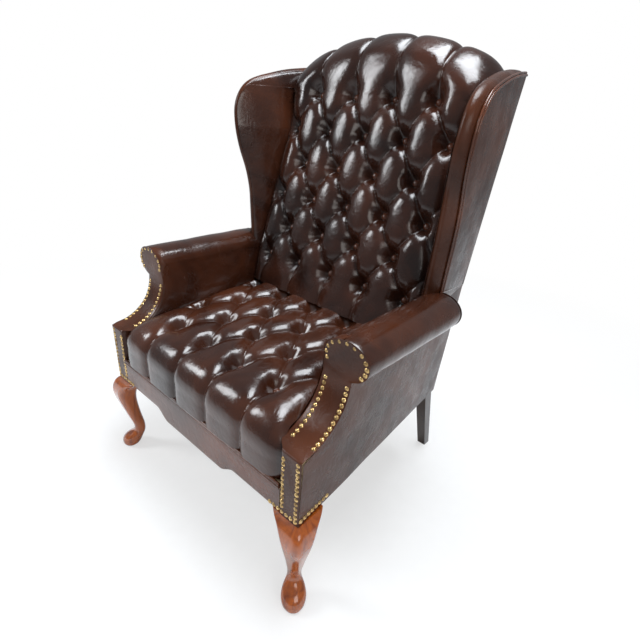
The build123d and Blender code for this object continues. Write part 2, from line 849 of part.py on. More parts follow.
def diamond(plane, across, along, width, half_height, rise):
    """Puffed diamond between four buttons."""
    stations = [(-share, size) for share, size in reversed(tuft_stations)] + list(tuft_stations[1:])
    sections = []
    for share, size in stations:
        part_width = (width - tuft_gap) * (1 - abs(share))
        sections.append(
            puff_section(plane, across, along + share * half_height, part_width, min(rise * size, part_width * 0.42))
        )
    with BuildPart() as puff:
        loft(sections=sections, ruled=True)
    return puff.part


def lobe(stations):
    """Rounded fold between two pleats, through stations of (across, depth, level, normal angle,
    width, rise, root); the angle is measured up from straight forward."""
    sections = []
    for across, depth, level, angle, width, rise, root in stations:
        turn = radians(angle)
        plane = Plane(origin=(across, depth, level), x_dir=(1, 0, 0), z_dir=(0, -sin(turn), -cos(turn)))
        with BuildSketch(plane) as section:
            with BuildLine():
                ThreePointArc((-width / 2, 0), (0, min(rise, width * 0.42)), (width / 2, 0))
                Polyline((width / 2, 0), (width / 2, -root), (-width / 2, -root), (-width / 2, 0))
            make_face()
        sections.append(section.sketch)
    with BuildPart() as fold:
        loft(sections=sections, ruled=True)
    return fold.part


def on_plane(plane, along):
    """Depth and level of a point on a tufted plane."""
    point = plane.from_local_coords((0, along, 0))
    return point.Y, point.Z


def button_rows(first, last, pitch):
    """Across and along places of the buttons: even rows straddle the middle, odd rows don't."""
    places = []
    for row in range(first, last + 1):
        columns = (-1.5, -0.5, 0.5, 1.5) if row % 2 == 0 else (-2, -1, 0, 1, 2)
        places += [(column * column_pitch, row * pitch) for column in columns]
    return places


def dome(radius, height):
    """Round cap that stands on the level, like a button or the head of a nail."""
    ball = (radius**2 + height**2) / (2 * height)
    with BuildPart() as cap:
        with Locations((0, 0, height - ball)):
            Sphere(ball)
        split(bisect_by=Plane.XY, keep=Keep.TOP)
    return cap.part


def domes(planes, radius, height):
    """One dome on each plane."""
    cap = dome(radius, height)
    with BuildPart() as group:
        with Locations(*planes):
            add(cap)
    return group


def button_planes(plane, places):
    """A plane to stand each button on."""
    return [
        Plane(origin=plane.from_local_coords((across, along, 0)), x_dir=plane.x_dir, z_dir=plane.z_dir)
        for across, along in places
    ]


def pockets(plane, places):
    """Clear space over each button, down to the leather it sits on."""
    with BuildPart() as group:
        for across, along in places:
            with BuildSketch(plane):
                with Locations((across, along)):
                    Circle(button_radius + clear)
            extrude(amount=tuft_rise)
    return group.part


# Inside back: a leaning slab, its tufts, and five folds that roll over the crest

lobe_outer = (1.5 * column_pitch + arm_inner_low) / 2
crest_outer = (1.5 * column_pitch + crest_half_width) / 2


def crest_path(fall):
    """Depth, level and normal angle of the crest's base at its front, top and back."""
    level = crest_back_level - fall
    return (
        (*on_plane(rest, crest_start - fall), rest_rake, 1),
        (front + crest_front_setback, crest_front_level - fall, 50, 1),
        (front + crest_top_setback, overall_height - tuft_rise - fall, 90, 1),
        (back_y(level, cover), level, 140, crest_rear_rise_share),
    )


with BuildPart() as crest_base:
    halves = list(zip(crest_places, crest_falls))
    for across, fall in [(-across, fall) for across, fall in reversed(halves[1:])] + halves:
        seat_level = crest_seat_level - fall
        lower = on_plane(rest, -slab_thickness)
        with BuildSketch(Plane.YZ.offset(across)):
            Polygon(
                lower,
                *[station[:2] for station in crest_path(fall)],
                (back_y(seat_level, cover), seat_level),
                (rest_y(seat_level, -slab_thickness), seat_level),
                (rest_y(lower[1], -slab_thickness), lower[1]),
                align=None,
            )
    loft(ruled=True)


def crest_lobe(apex, centre, crest_centre, width, crest_width, fall):
    """Fold from the button below it, between the top buttons, over the crest to the outside back."""
    stations = []
    for share, size in ((0.95, 0.085), (0.5, 0.6), (0, 0.9)):
        depth, level = on_plane(rest, -share * back_row_pitch)
        across = centre + (apex - centre) * share
        part_width = (width - tuft_gap) * (1 - share)
        stations.append((across, depth, level, rest_rake, part_width, tuft_rise * size, slab_thickness / 2))
    for depth, level, angle, size in crest_path(fall):
        stations.append(
            (crest_centre, depth, level, angle, crest_width - tuft_gap, tuft_rise * size, slab_thickness * 2)
        )
    return lobe(stations)


def foot_lobe(across):
    """Fold from a button of the row before last down to the seat."""
    stations = []
    for share, size in ((0.95, 0.085), (0.5, 0.6), (0, 0.95)):
        depth, level = on_plane(rest, (share - back_rows + 1) * back_row_pitch)
        part_width = (column_pitch - tuft_gap) * (1 - share)
        stations.append((across, depth, level, rest_rake, part_width, tuft_rise * size, slab_thickness / 2))
    stations.append(
        (across, rest_y(rest_foot_level), rest_foot_level, rest_rake, column_pitch - tuft_gap, tuft_rise,
         slab_thickness / 2)
    )
    return lobe(stations)


back_places = [(across, -along) for across, along in button_rows(0, back_rows - 1, back_row_pitch)]
with BuildPart() as inside_back:
    with BuildSketch(rest):
        slab_height = (top_row_level - arm_cover_bottom) / cos(radians(rest_rake))
        Rectangle(2 * crest_half_width, slab_height, align=(Align.CENTER, Align.MAX))
    extrude(amount=-slab_thickness)
    add(crest_base.part)
    for row in range(1, back_rows - 1):
        columns = (-1.5, -0.5, 0.5, 1.5) if row % 2 else (-2, -1, 0, 1, 2)
        for column in columns:
            add(diamond(rest, column * column_pitch, -row * back_row_pitch, column_pitch, back_row_pitch, tuft_rise))
    for sign in (-1, 1):
        outer_width = 2 * (arm_inner_low - lobe_outer)
        crest_width = 2 * (crest_half_width - crest_outer)
        add(crest_lobe(sign * 2 * column_pitch, sign * lobe_outer, sign * crest_outer, outer_width, crest_width,
                       outer_lobe_fall))
        add(crest_lobe(sign * column_pitch, sign * column_pitch, sign * column_pitch, column_pitch, column_pitch,
                       middle_lobe_fall))
    add(crest_lobe(0, 0, 0, column_pitch, column_pitch, 0))
    for column in (-1.5, -0.5, 0.5, 1.5):
        add(foot_lobe(column * column_pitch))
    with BuildPart(mode=Mode.PRIVATE) as between:
        add(well(-clear))
        add(between_arms(0, wing_seat))
        with BuildSketch(Plane.XY.offset(inner_top_level)):
            with Locations((0, front)):
                Rectangle(2 * crest_half_width, body_depth + 2 * overrun, align=(Align.CENTER, Align.MIN))
        extrude(amount=overrun + overall_height - inner_top_level)
    add(between.part, mode=Mode.INTERSECT)
    split(bisect_by=back.offset(-cover), keep=Keep.BOTTOM)
    add(pockets(rest, back_places), mode=Mode.SUBTRACT)
keep(inside_back, "inside_back_cover")

back_buttons = domes(button_planes(rest, back_places), button_radius, button_height)
keep(back_buttons, "back_buttons")

# Seat: the same build on a tilted deck, with folds that roll down over its front


def seat_view(inset):
    """Side view of the seat's base, drawn in by inset."""
    far = body_depth - seat_row_setback
    with BuildSketch(Plane.XY) as view:
        Polygon(
            (front + seat_front_setback, seat_front_bottom - overrun),
            (front + seat_front_setback, seat_front_bottom),
            (front + seat_nose_setback, seat_nose_level),
            (front + seat_shoulder_setback, seat_shoulder_level),
            (front + seat_row_setback, seat_row_level),
            (front + seat_row_setback + far, seat_row_level + far * tan(radians(seat_tilt))),
            (front + seat_row_setback + far, seat_front_bottom - overrun),
            align=None,
        )
        if inset:
            offset(amount=-inset, kind=Kind.INTERSECTION)
    return view.sketch


def seat_block(inset, bottom):
    """The seat's side view as a solid, from a level up and in front of the back."""
    with BuildPart() as block:
        with BuildSketch(Plane.YZ.offset(-seat_front_half_width)):
            add(seat_view(inset))
        extrude(amount=2 * seat_front_half_width)
        split(bisect_by=Plane.XY.offset(bottom), keep=Keep.TOP)
        split(bisect_by=rest.offset(clear), keep=Keep.TOP)
    return block.part


def front_lobe(apex, centre, width, nose_centre, nose_width):
    """Fold from the second row's button, between the front buttons, down to the front welt."""
    stations = []
    for share, size in ((0.95, 0.085), (0.5, 0.6), (0, 1)):
        depth, level = on_plane(deck, share * seat_row_pitch)
        across = centre + (apex - centre) * share
        part_width = (width - tuft_gap) * (1 - share)
        stations.append((across, depth, level, 90 - seat_tilt, part_width, seat_rise * size, slab_thickness / 2))
    for setback, level, angle, share in (
        (seat_shoulder_setback, seat_shoulder_level, seat_shoulder_angle, 0.2),
        (seat_nose_setback, seat_nose_level, seat_nose_angle, 1),
        (seat_front_setback, seat_front_bottom, 0, 1),
    ):
        across = centre + (nose_centre - centre) * share
        part_width = width + (nose_width - width) * share - tuft_gap
        rise = seat_rise + (seat_front_rise - seat_rise) * share
        stations.append((across, front + setback, level, angle, part_width, rise, slab_thickness / 2))
    return lobe(stations)


def rear_lobe(across):
    """Fold from a button of the third row back under the tufts of the back."""
    stations = []
    for share, size in ((0.95, 0.085), (0.5, 0.6), (0, 0.95)):
        depth, level = on_plane(deck, (3 - share) * seat_row_pitch)
        part_width = (column_pitch - tuft_gap) * (1 - share)
        stations.append((across, depth, level, 90 - seat_tilt, part_width, seat_rise * size, slab_thickness / 2))
    depth, level = on_plane(deck, 4 * seat_row_pitch)
    stations.append((across, depth, level, 90 - seat_tilt, column_pitch - tuft_gap, seat_rise, slab_thickness / 2))
    return lobe(stations)


seat_places = button_rows(0, 3, seat_row_pitch)
with BuildPart() as seat_cover:
    add(seat_block(0, seat_front_bottom))
    add(seat_block(slab_thickness, seat_front_bottom - overrun / 2), mode=Mode.SUBTRACT)
    for row in (1, 2):
        for column in (-1.5, -0.5, 0.5, 1.5) if row % 2 else (-2, -1, 0, 1, 2):
            add(diamond(deck, column * column_pitch, row * seat_row_pitch, column_pitch, seat_row_pitch, seat_rise))
    for column in (-1.5, -0.5, 0.5, 1.5):
        add(rear_lobe(column * column_pitch))
    for column in (-1, 0, 1):
        across = column * column_pitch
        add(front_lobe(across, across, column_pitch, across, column_pitch))
    nose_outer = (1.5 * column_pitch + seat_front_half_width) / 2
    for sign in (-1, 1):
        add(front_lobe(sign * 2 * column_pitch, sign * lobe_outer, 2 * (arm_inner_low - lobe_outer),
                       sign * nose_outer, 2 * (seat_front_half_width - nose_outer)))
    with BuildPart(mode=Mode.PRIVATE) as seat_room:
        add(between_arms(0, wing_seat))
        with BuildSketch(Plane.XZ.offset(-front + overrun)):
            with Locations((0, seat_front_bottom)):
                height = seat_strip_top - seat_front_bottom
                Rectangle(2 * seat_front_half_width, height, align=(Align.CENTER, Align.MIN))
        extrude(amount=-overrun - seat_front_setback - slab_thickness)
    with BuildPart(mode=Mode.PRIVATE) as ahead:
        with BuildSketch(Plane.XZ.offset(-front)):
            with Locations((0, seat_front_bottom)):
                Rectangle(2 * arm_inner_low, overrun + wing_seat - seat_front_bottom, align=(Align.CENTER, Align.MIN))
        extrude(amount=overrun)
    add(seat_room.part + ahead.part, mode=Mode.INTERSECT)
    split(bisect_by=rest.offset(clear), keep=Keep.TOP)
    add(pockets(deck, seat_places), mode=Mode.SUBTRACT)
keep(seat_cover, "seat_cover")

seat_buttons = domes(button_planes(deck, seat_places), button_radius, button_height)
keep(seat_buttons, "seat_buttons")

# Seat filling: springs, hessian and the stuffing pad

hessian_bottom = rail_top + spring_wire
pad_bottom = hessian_bottom + cloth

with BuildPart() as seat_pad:
    add(seat_block(slab_thickness, pad_bottom))
    add(between_arms(0, wing_seat), mode=Mode.INTERSECT)
keep(seat_pad, "seat_pad")

with BuildPart() as seat_hessian:
    with BuildSketch(Plane.XY.offset(hessian_bottom)):
        with Locations((0, front + seat_front_setback + slab_thickness + clear)):
            Rectangle(2 * hessian_half_width, hessian_length, align=(Align.CENTER, Align.MIN))
    extrude(amount=cloth)
keep(seat_hessian, "seat_hessian")

spring_start = front_joint - clip_length / 2
spring_end = back_y(rail_top, cover + post_depth) + clip_length / 2
spring_step = (spring_end - spring_start) / spring_loops
with BuildPart() as one_spring:
    with BuildSketch(Plane.XY.offset(rail_top)):
        with BuildLine():
            for loop in range(spring_loops):
                way = 1 if loop % 2 else -1
                y = spring_start + loop * spring_step
                swing = spring_half_swing * way
                Line((-swing, y), (swing, y))
                ThreePointArc(
                    (swing, y), (swing + way * spring_step / 2, y + spring_step / 2), (swing, y + spring_step)
                )
            Line((swing, spring_end), (-swing, spring_end))
        trace(line_width=spring_wire)
    extrude(amount=spring_wire)
spring_columns = [(step - (spring_count - 1) / 2) * spring_pitch for step in range(spring_count)]
with BuildPart() as springs:
    with Locations(*[(x, 0, 0) for x in spring_columns]):
        add(one_spring.part)
keep(springs, "seat_springs")

with BuildPart() as spring_clips:
    for y in (spring_start, spring_end):
        with BuildSketch(Plane.XY.offset(rail_top)):
            with Locations(*[(x, y) for x in spring_columns]):
                Rectangle(clip_width, clip_length - 2 * clear)
        extrude(amount=spring_wire)
    add(springs.part, mode=Mode.SUBTRACT)
keep(spring_clips, "seat_spring_clips")

# Back filling: webbing, hessian and the stuffing pad

with BuildPart() as webbing:
    for row in range(web_rows):
        level = web_level + row * web_row_pitch
        with BuildSketch(post_front):
            with Locations((0, up_post(level))):
                Rectangle(2 * front_half_width, web_width)
        extrude(amount=-web_thickness)
    split(bisect_by=side.offset(-cover - post_width + web_lap), keep=Keep.BOTTOM)
    split(bisect_by=Plane.YZ, keep=Keep.TOP)
    mirror(about=Plane.YZ)
    with BuildSketch(post_front.offset(-web_thickness)):
        web_low = up_post(lower_rail_level + lower_rail_height - web_lap)
        web_high = up_post(post_top - crest_rail_height + web_lap)
        with GridLocations(web_pitch, web_pitch, web_count, 1):
            with Locations((0, (web_low + web_high) / 2)):
                Rectangle(web_width, web_high - web_low)
    extrude(amount=-web_thickness)
keep(webbing, "back_webbing")

with BuildPart() as back_hessian:
    with BuildSketch(post_front.offset(-2 * web_thickness)):
        with Locations((0, (web_low + web_high) / 2)):
            Rectangle(2 * back_hessian_half_width, web_high - web_low)
    extrude(amount=-cloth)
keep(back_hessian, "back_hessian")

with BuildPart() as back_pad:
    with BuildSketch(Plane.YZ.offset(-crest_half_width)):
        pad_face = 2 * web_thickness + cloth
        pad_top = on_plane(rest, -slab_thickness)[1]
        Polygon(
            (rest_y(arm_cover_bottom, -slab_thickness), arm_cover_bottom),
            (back_y(arm_cover_bottom, cover + post_depth + pad_face), arm_cover_bottom),
            (back_y(pad_top, cover + post_depth + pad_face), pad_top),
            (rest_y(pad_top, -slab_thickness), pad_top),
            align=None,
        )
    extrude(amount=2 * crest_half_width)
    with BuildPart(mode=Mode.PRIVATE) as pad_room:
        add(well(-clear))
        add(between_arms(0, wing_seat))
    add(pad_room.part, mode=Mode.INTERSECT)
    add(arm_rail.part, mode=Mode.SUBTRACT)
    mirror(arm_rail.part, about=Plane.YZ, mode=Mode.SUBTRACT)
keep(back_pad, "back_pad")

# Outside back

with BuildPart() as outside_back:
    with BuildSketch(back):
        backs = [
            (x, (crest_back_level - fall - rail_bottom) / cos(radians(back_rake)))
            for x, fall in zip(crest_places, crest_falls)
        ]
        ear = (wing_level + wing_rear_rise - rail_bottom) / cos(radians(back_rake))
        Polygon(
            *backs, (crest_half_width, ear), (front_half_width, ear), (front_half_width, 0), (0, 0), align=None
        )
        mirror(about=Plane.YZ)
    extrude(amount=-cover)
    split(bisect_by=Plane.YZ, keep=Keep.TOP)
    with BuildPart(mode=Mode.PRIVATE) as panel_room:
        with BuildSketch(Plane.YZ):
            with Locations((front, rail_bottom - overrun)):
                Rectangle(body_depth * 2, wing_seat - rail_bottom + overrun, align=(Align.MIN, Align.MIN))
        extrude(amount=front_half_width)
        split(bisect_by=side, keep=Keep.BOTTOM)
    with BuildPart(mode=Mode.PRIVATE) as ear_room:
        with BuildSketch(Plane.YZ):
            with Locations((front, wing_seat)):
                Rectangle(body_depth * 2, overall_height, align=(Align.MIN, Align.MIN))
        extrude(amount=front_half_width)
        split(bisect_by=wing_side, keep=Keep.BOTTOM)
    add(panel_room.part + ear_room.part, mode=Mode.INTERSECT)
    mirror(about=Plane.YZ)
keep(outside_back, "outside_back_cover")

# Wing welts, in the channel round each outside wing

with BuildPart() as wing_welt:
    add(wing_shape(clear / 2, clear / 2, welt - clear / 2))
    add(wing_shape(welt - clear / 2, 0, welt), mode=Mode.SUBTRACT)
    split(bisect_by=back.offset(-cover), keep=Keep.BOTTOM)
    split(bisect_by=Plane.XY.offset(wing_seat), keep=Keep.TOP)
    add(left_roll, mode=Mode.SUBTRACT)
keep_pair(wing_welt, "wing_welt")

# Nails round the arm fronts and along the bottoms

kink = (front, arm_kink_level)
slope_start = (front + arm_slope_setback, arm_slope_level)
neck = (front + arm_neck_setback, arm_neck_level)
with BuildLine() as hollow:
    tangent = (cos(radians(arm_slope_angle)), sin(radians(arm_slope_angle)))
    TangentArc(slope_start, neck, tangent=tangent)
hollow_edge = hollow.edges()[0]


def nail_plane(across, level):
    """Plane that a nail stands on, on the arm's front at a level."""
    point, run = (front, level), (0, 1)
    if level > arm_neck_level:
        run = (arm_front_setback - arm_neck_setback, arm_top + overrun - arm_neck_level)
        share = (level - arm_neck_level) / run[1]
        point = (neck[0] + share * run[0], level)
    elif level > arm_slope_level:
        low, high = 0, 1
        for _ in range(20):
            middle = (low + high) / 2
            if hollow_edge.position_at(middle).Y < level:
                low = middle
            else:
                high = middle
        spot, tangent = hollow_edge.position_at(middle), hollow_edge.tangent_at(middle)
        point, run = (spot.X, spot.Y), (tangent.X, tangent.Y)
    normal = Vector(0, -run[1], run[0]).normalized()
    return Plane(origin=Vector(across, *point) + normal * clear / 2, x_dir=(1, 0, 0), z_dir=normal)


nail_planes = []
for across, low, count in ((nail_outer, nail_outer_low, nail_outer_count), (nail_inner, nail_inner_low, nail_inner_count)):
    for step in range(count):
        nail_planes.append(nail_plane(across, low + step * nail_pitch))
for across in (arm_scroll_inner + nail_edge, front_half_width - nail_edge):
    steps = int(hollow_edge.length * nail_slope_share / nail_pitch)
    for step in range(steps):
        spot = hollow_edge.position_at((step + 0.5) * nail_pitch / hollow_edge.length)
        nail_planes.append(nail_plane(across, spot.Y))
for degrees_round in nail_scroll_angles:
    turn = radians(degrees_round)
    across = roll_centre + (roll_half_width - nail_edge) * cos(turn)
    nail_planes.append(nail_plane(across, roll_level + (roll_half_height - nail_edge) * sin(turn)))
for step in range(1, nail_foot_count + 1):
    nail_planes.append(nail_plane(nail_outer - step * nail_pitch, nail_outer_low))
for step in range(nail_side_count):
    y = front + nail_edge + step * nail_pitch
    level = rail_bottom + 2 * nail_edge
    nail_planes.append(
        Plane(
            origin=Vector(side_x(y, level), y, level) + side.z_dir * clear / 2, x_dir=side.x_dir, z_dir=side.z_dir
        )
    )
nails = domes(nail_planes, nail_radius, nail_height)
keep_pair(nails, "arm_nails")

# Corner blocks

with BuildPart() as blocks:
    for joint, way in ((front_joint, 1), (back_y(rail_bottom, cover + post_depth), -1)):
        x = side_x(joint, rail_bottom, cover + rail_thickness)
        with BuildPart(mode=Mode.PRIVATE) as block:
            with BuildSketch(Plane.XY.offset(rail_bottom)):
                Polygon(
                    (x - block_leg, joint - way * overrun), (x + overrun, joint - way * overrun),
                    (x + overrun, joint + way * (block_leg - overrun)), (x, joint + way * block_leg),
                    (x - block_leg, joint),
                    align=None,
                )
            extrude(amount=block_height)
            split(bisect_by=side_inner, keep=Keep.BOTTOM)
            if way > 0:
                split(bisect_by=Plane.XZ.offset(-front_joint), keep=Keep.BOTTOM)
            else:
                split(bisect_by=post_front, keep=Keep.BOTTOM)
        add(block.part)
    mirror(about=Plane.YZ)
drill(blocks)
keep(blocks, "corner_blocks")

# Dust cover under the seat frame

with BuildPart() as dust_cover:
    with BuildSketch(Plane.XY.offset(rail_bottom)):
        low_y = front_joint + clear
        high_y = back_y(rail_bottom, cover + post_depth / 2)
        leg_half = leg_block / 2 + clear
        Polygon(
            (0, low_y), (front_half_width - leg_block - clear, low_y),
            (front_half_width - leg_block - clear, front + leg_block + clear),
            (front_half_width, front + leg_block + clear), (front_half_width, high_y - post_depth),
            (post_middle_x - post_width, high_y - post_depth), (post_middle_x - post_width, high_y), (0, high_y),
            align=None,
        )
        mirror(about=Plane.YZ)
    extrude(amount=-cloth)
    split(bisect_by=side.offset(-cover - rail_thickness / 2), keep=Keep.BOTTOM)
    split(bisect_by=Plane.YZ, keep=Keep.TOP)
    mirror(about=Plane.YZ)
keep(dust_cover, "dust_cover")
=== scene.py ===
import json
from math import atan2, cos, pi, radians, sin, tan

import bpy
import numpy as np
from mathutils import Matrix, Vector


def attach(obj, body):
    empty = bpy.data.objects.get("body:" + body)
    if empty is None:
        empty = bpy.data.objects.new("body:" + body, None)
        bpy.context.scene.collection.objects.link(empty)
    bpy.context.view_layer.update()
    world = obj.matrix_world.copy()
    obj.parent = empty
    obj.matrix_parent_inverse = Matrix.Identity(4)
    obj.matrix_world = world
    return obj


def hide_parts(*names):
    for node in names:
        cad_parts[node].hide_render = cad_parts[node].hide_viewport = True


# Deep-buttoned leather wingback chair. Lengths here are millimetres; meshes are made in metres.

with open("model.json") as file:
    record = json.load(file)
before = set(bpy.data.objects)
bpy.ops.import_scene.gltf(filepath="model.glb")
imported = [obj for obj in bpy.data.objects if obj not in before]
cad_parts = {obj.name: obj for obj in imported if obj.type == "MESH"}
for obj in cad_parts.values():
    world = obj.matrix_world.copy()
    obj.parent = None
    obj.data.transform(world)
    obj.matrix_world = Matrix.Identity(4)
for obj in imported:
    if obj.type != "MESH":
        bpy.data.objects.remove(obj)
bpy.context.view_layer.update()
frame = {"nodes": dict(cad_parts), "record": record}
nodes = frame["nodes"]
FRONT = -336.0

# Camera, solved from the photograph's perspective

AZ, EL, ROLL = radians(40.59), radians(25.74), radians(4.14)
FOCAL = 447.3
look = Vector((-sin(AZ) * cos(EL), cos(AZ) * cos(EL), -sin(EL)))
right = look.cross(Vector((0, 0, 1))).normalized()
up = right.cross(look)
right_rolled = cos(ROLL) * right + sin(ROLL) * up
up_rolled = -sin(ROLL) * right + cos(ROLL) * up
camera_data = bpy.data.cameras.new("camera")
camera_data.lens = 36 * FOCAL / 640
camera_data.sensor_width = 36
camera_data.clip_start = 0.05
camera = bpy.data.objects.new("camera", camera_data)
turn = Matrix((right_rolled, up_rolled, -look)).transposed().to_4x4()
camera.matrix_world = Matrix.Translation((0.737, -0.433 + FRONT / 1000, 0.950)) @ turn
bpy.context.scene.collection.objects.link(camera)
bpy.context.scene.camera = camera
bpy.context.scene.view_settings.view_transform = "Standard"

# Materials


def new_material(name):
    material = bpy.data.materials.new(name)
    material.use_nodes = True
    tree = material.node_tree
    return material, tree, tree.nodes["Principled BSDF"]


def coords(tree, scale=(1, 1, 1)):
    place = tree.nodes.new("ShaderNodeTexCoord")
    mapping = tree.nodes.new("ShaderNodeMapping")
    mapping.inputs["Scale"].default_value = scale
    tree.links.new(place.outputs["Object"], mapping.inputs["Vector"])
    return mapping.outputs["Vector"]


def noise(tree, vector, scale, detail=4, distortion=0):
    node = tree.nodes.new("ShaderNodeTexNoise")
    node.inputs["Scale"].default_value = scale
    node.inputs["Detail"].default_value = detail
    node.inputs["Distortion"].default_value = distortion
    tree.links.new(vector, node.inputs["Vector"])
    return node.outputs["Fac"]


def ramp(tree, fac, stops):
    node = tree.nodes.new("ShaderNodeValToRGB")
    while len(node.color_ramp.elements) < len(stops):
        node.color_ramp.elements.new(0.5)
    for element, (place, colour) in zip(node.color_ramp.elements, stops):
        element.position = place
        element.color = (*colour, 1) if len(colour) == 3 else colour
    tree.links.new(fac, node.inputs["Fac"])
    return node.outputs["Color"]


def bump(tree, height, strength, distance, under=None):
    node = tree.nodes.new("ShaderNodeBump")
    node.inputs["Strength"].default_value = strength
    node.inputs["Distance"].default_value = distance
    tree.links.new(height, node.inputs["Height"])
    if under:
        tree.links.new(under, node.inputs["Normal"])
    return node.outputs["Normal"]


def leather(name, dark, light, rough, coat=0.35):
    material, tree, shader = new_material(name)
    vector = coords(tree)
    patches = noise(tree, vector, 7, 6, 0.6)
    tree.links.new(ramp(tree, patches, ((0.32, dark), (0.68, light))), shader.inputs["Base Color"])
    worn = noise(tree, vector, 22, 5, 0.3)
    low = (rough - 0.06,) * 3
    high = (rough + 0.12,) * 3
    tree.links.new(ramp(tree, worn, ((0.35, low), (0.7, high))), shader.inputs["Roughness"])
    shader.inputs["Coat Weight"].default_value = coat
    shader.inputs["Coat Roughness"].default_value = 0.09
    shader.inputs["Specular IOR Level"].default_value = 0.36
    grain = tree.nodes.new("ShaderNodeTexVoronoi")
    grain.feature = "DISTANCE_TO_EDGE"
    grain.inputs["Scale"].default_value = 520
    tree.links.new(vector, grain.inputs["Vector"])
    creases = noise(tree, vector, 48, 6, 1.2)
    first = bump(tree, creases, 0.22, 0.004)
    tree.links.new(bump(tree, grain.outputs["Distance"], 0.16, 0.0006, first), shader.inputs["Normal"])
    return material


def wood(name, dark, light, rough, coat, stretch=(14, 14, 1.6)):
    material, tree, shader = new_material(name)
    vector = coords(tree, stretch)
    bands = noise(tree, vector, 6, 8, 1.4)
    colour = ramp(tree, bands, ((0.3, dark), (0.55, light), (0.8, dark)))
    tree.links.new(colour, shader.inputs["Base Color"])
    pores = noise(tree, vector, 42, 3)
    sheen = ramp(tree, pores, ((0.3, (rough,) * 3), (0.8, (rough + 0.15,) * 3)))
    tree.links.new(sheen, shader.inputs["Roughness"])
    tree.links.new(bump(tree, pores, 0.12, 0.0008), shader.inputs["Normal"])
    shader.inputs["Coat Weight"].default_value = coat
    shader.inputs["Coat Roughness"].default_value = 0.08
    return material


def metal(name, dark, light, rough):
    material, tree, shader = new_material(name)
    vector = coords(tree)
    tarnish = noise(tree, vector, 90, 5, 0.5)
    tree.links.new(ramp(tree, tarnish, ((0.3, dark), (0.65, light))), shader.inputs["Base Color"])
    sheen = ramp(tree, tarnish, ((0.3, (rough + 0.25,) * 3), (0.7, (rough,) * 3)))
    tree.links.new(sheen, shader.inputs["Roughness"])
    shader.inputs["Metallic"].default_value = 1
    return material


def cloth(name, dark, light, pitch):
    material, tree, shader = new_material(name)
    vector = coords(tree)
    heights = []
    for way in ("X", "Y"):
        wave = tree.nodes.new("ShaderNodeTexWave")
        wave.bands_direction = way
        wave.inputs["Scale"].default_value = 1 / pitch
        wave.inputs["Distortion"].default_value = 1.5
        tree.links.new(vector, wave.inputs["Vector"])
        heights.append(wave.outputs["Fac"])
    both = tree.nodes.new("ShaderNodeMath")
    both.operation = "MULTIPLY"
    tree.links.new(heights[0], both.inputs[0])
    tree.links.new(heights[1], both.inputs[1])
    tree.links.new(ramp(tree, both.outputs[0], ((0.2, dark), (0.8, light))), shader.inputs["Base Color"])
    shader.inputs["Roughness"].default_value = 0.9
    tree.links.new(bump(tree, both.outputs[0], 0.3, 0.0008), shader.inputs["Normal"])
    return material


hide = leather("hide", (0.010, 0.0034, 0.0021), (0.040, 0.0118, 0.0058), 0.20, 0.16)
hide_seat = leather("hide_seat", (0.016, 0.0048, 0.0026), (0.058, 0.0168, 0.0072), 0.19, 0.26)
hide_side = leather("hide_side", (0.026, 0.0080, 0.0038), (0.078, 0.0235, 0.0100), 0.27, 0.05)
hide_side.node_tree.nodes["Principled BSDF"].inputs["Specular IOR Level"].default_value = 0.2
hide_welt = leather("hide_welt", (0.040, 0.012, 0.006), (0.120, 0.036, 0.015), 0.25, 0.3)
# Rail leather, lighter and redder; the buttons get it too, as a painted highlight.
hide_rail = leather("hide_rail", (0.040, 0.0105, 0.0045), (0.120, 0.032, 0.012), 0.22, 0.2)
leg_front = wood("leg_front", (0.15, 0.026, 0.003), (0.36, 0.080, 0.007), 0.14, 0.7, (7, 7, 1.2))
leg_rear = wood("leg_rear", (0.012, 0.007, 0.005), (0.045, 0.022, 0.014), 0.3, 0.3)
frame_wood = wood("frame_wood", (0.42, 0.29, 0.16), (0.62, 0.47, 0.29), 0.55, 0)
brass = metal("brass", (0.20, 0.12, 0.05), (0.72, 0.50, 0.22), 0.2)
steel = metal("steel", (0.16, 0.16, 0.17), (0.42, 0.42, 0.43), 0.3)
stuffing = cloth("stuffing", (0.45, 0.36, 0.23), (0.72, 0.62, 0.46), 0.004)
hessian = cloth("hessian", (0.30, 0.22, 0.12), (0.58, 0.47, 0.30), 0.0016)
dust_cloth = cloth("dust_cloth", (0.010, 0.010, 0.010), (0.035, 0.035, 0.035), 0.001)
by_slot = {
    "leather": hide, "welt_leather": hide_welt, "front_leg_wood": leg_front, "rear_leg_wood": leg_rear,
    "frame_wood": frame_wood, "brass": brass, "steel": steel, "spring_steel": steel, "stuffing": stuffing,
    "hessian": hessian, "webbing": hessian, "dust_cloth": dust_cloth,
}
for entry in frame["record"]["subparts"]:
    node = nodes[entry["node"]]
    node.data.materials.clear()
    # Buttons are the same hide as the back; the lighter rail leather on them is a painted highlight that shows them
    # in the dark dimples.
    gets_painted_highlight = entry["node"].endswith("_buttons")
    node.data.materials.append(hide_rail if gets_painted_highlight else by_slot[entry["material_slot"]])

# Mesh helpers


def grid(name, points, material, smooth=True):
    """Mesh from an array of points, rows by columns by three, in millimetres."""
    rows, columns = points.shape[:2]
    index = np.arange(rows * columns).reshape(rows, columns)
    faces = np.stack([index[:-1, :-1], index[:-1, 1:], index[1:, 1:], index[1:, :-1]], axis=-1).reshape(-1, 4)
    mesh = bpy.data.meshes.new(name)
    mesh.from_pydata((points.reshape(-1, 3) / 1000).tolist(), [], faces.tolist())
    mesh.materials.append(material)
    mesh.polygons.foreach_set("use_smooth", [smooth] * len(mesh.polygons))
    mesh.update()
    obj = bpy.data.objects.new(name, mesh)
    bpy.context.scene.collection.objects.link(obj)
    return obj


def flip(obj):
    obj.data.flip_normals()
    return obj


def dress(obj, slot, *replaced, fill=None):
    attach(obj, "root")
    if replaced:
        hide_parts(*replaced)


